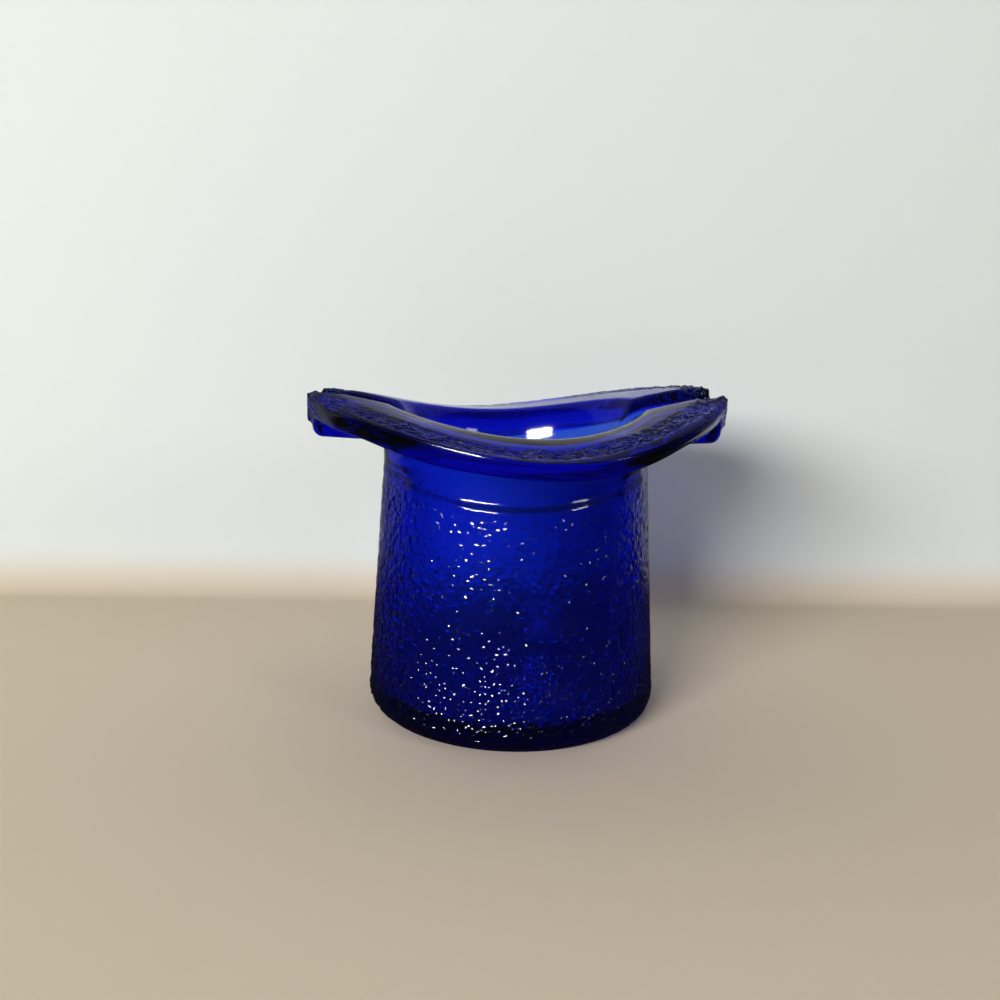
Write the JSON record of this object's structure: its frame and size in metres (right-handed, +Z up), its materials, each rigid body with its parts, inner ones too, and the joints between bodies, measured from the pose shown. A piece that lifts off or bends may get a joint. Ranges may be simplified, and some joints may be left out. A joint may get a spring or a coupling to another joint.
{
  "type": "glass hat",
  "caption": "Upturned top hat of pressed cobalt glass: stippled tapered crown, smooth neck and a swept brim folded into spouts. Stands on its crown as a small holder.",
  "frame": {"origin": "centre of the flat foot, on the surface that the hat stands on", "axes": "+Z up from the foot to the mouth, X along the two spouts of the brim, Y across the dipped flanks"},
  "size_m": [0.0796, 0.0796, 0.0634],
  "materials": {
    "cobalt_glass": "pressed, fire-polished, stippled on the crown and along the brim's edge"
  },
  "bodies": {
    "root": {"base": "cobalt_glass", "crown_wall": "cobalt_glass", "neck_band": "cobalt_glass", "brim": "cobalt_glass"}
  },
  "joints": []
}
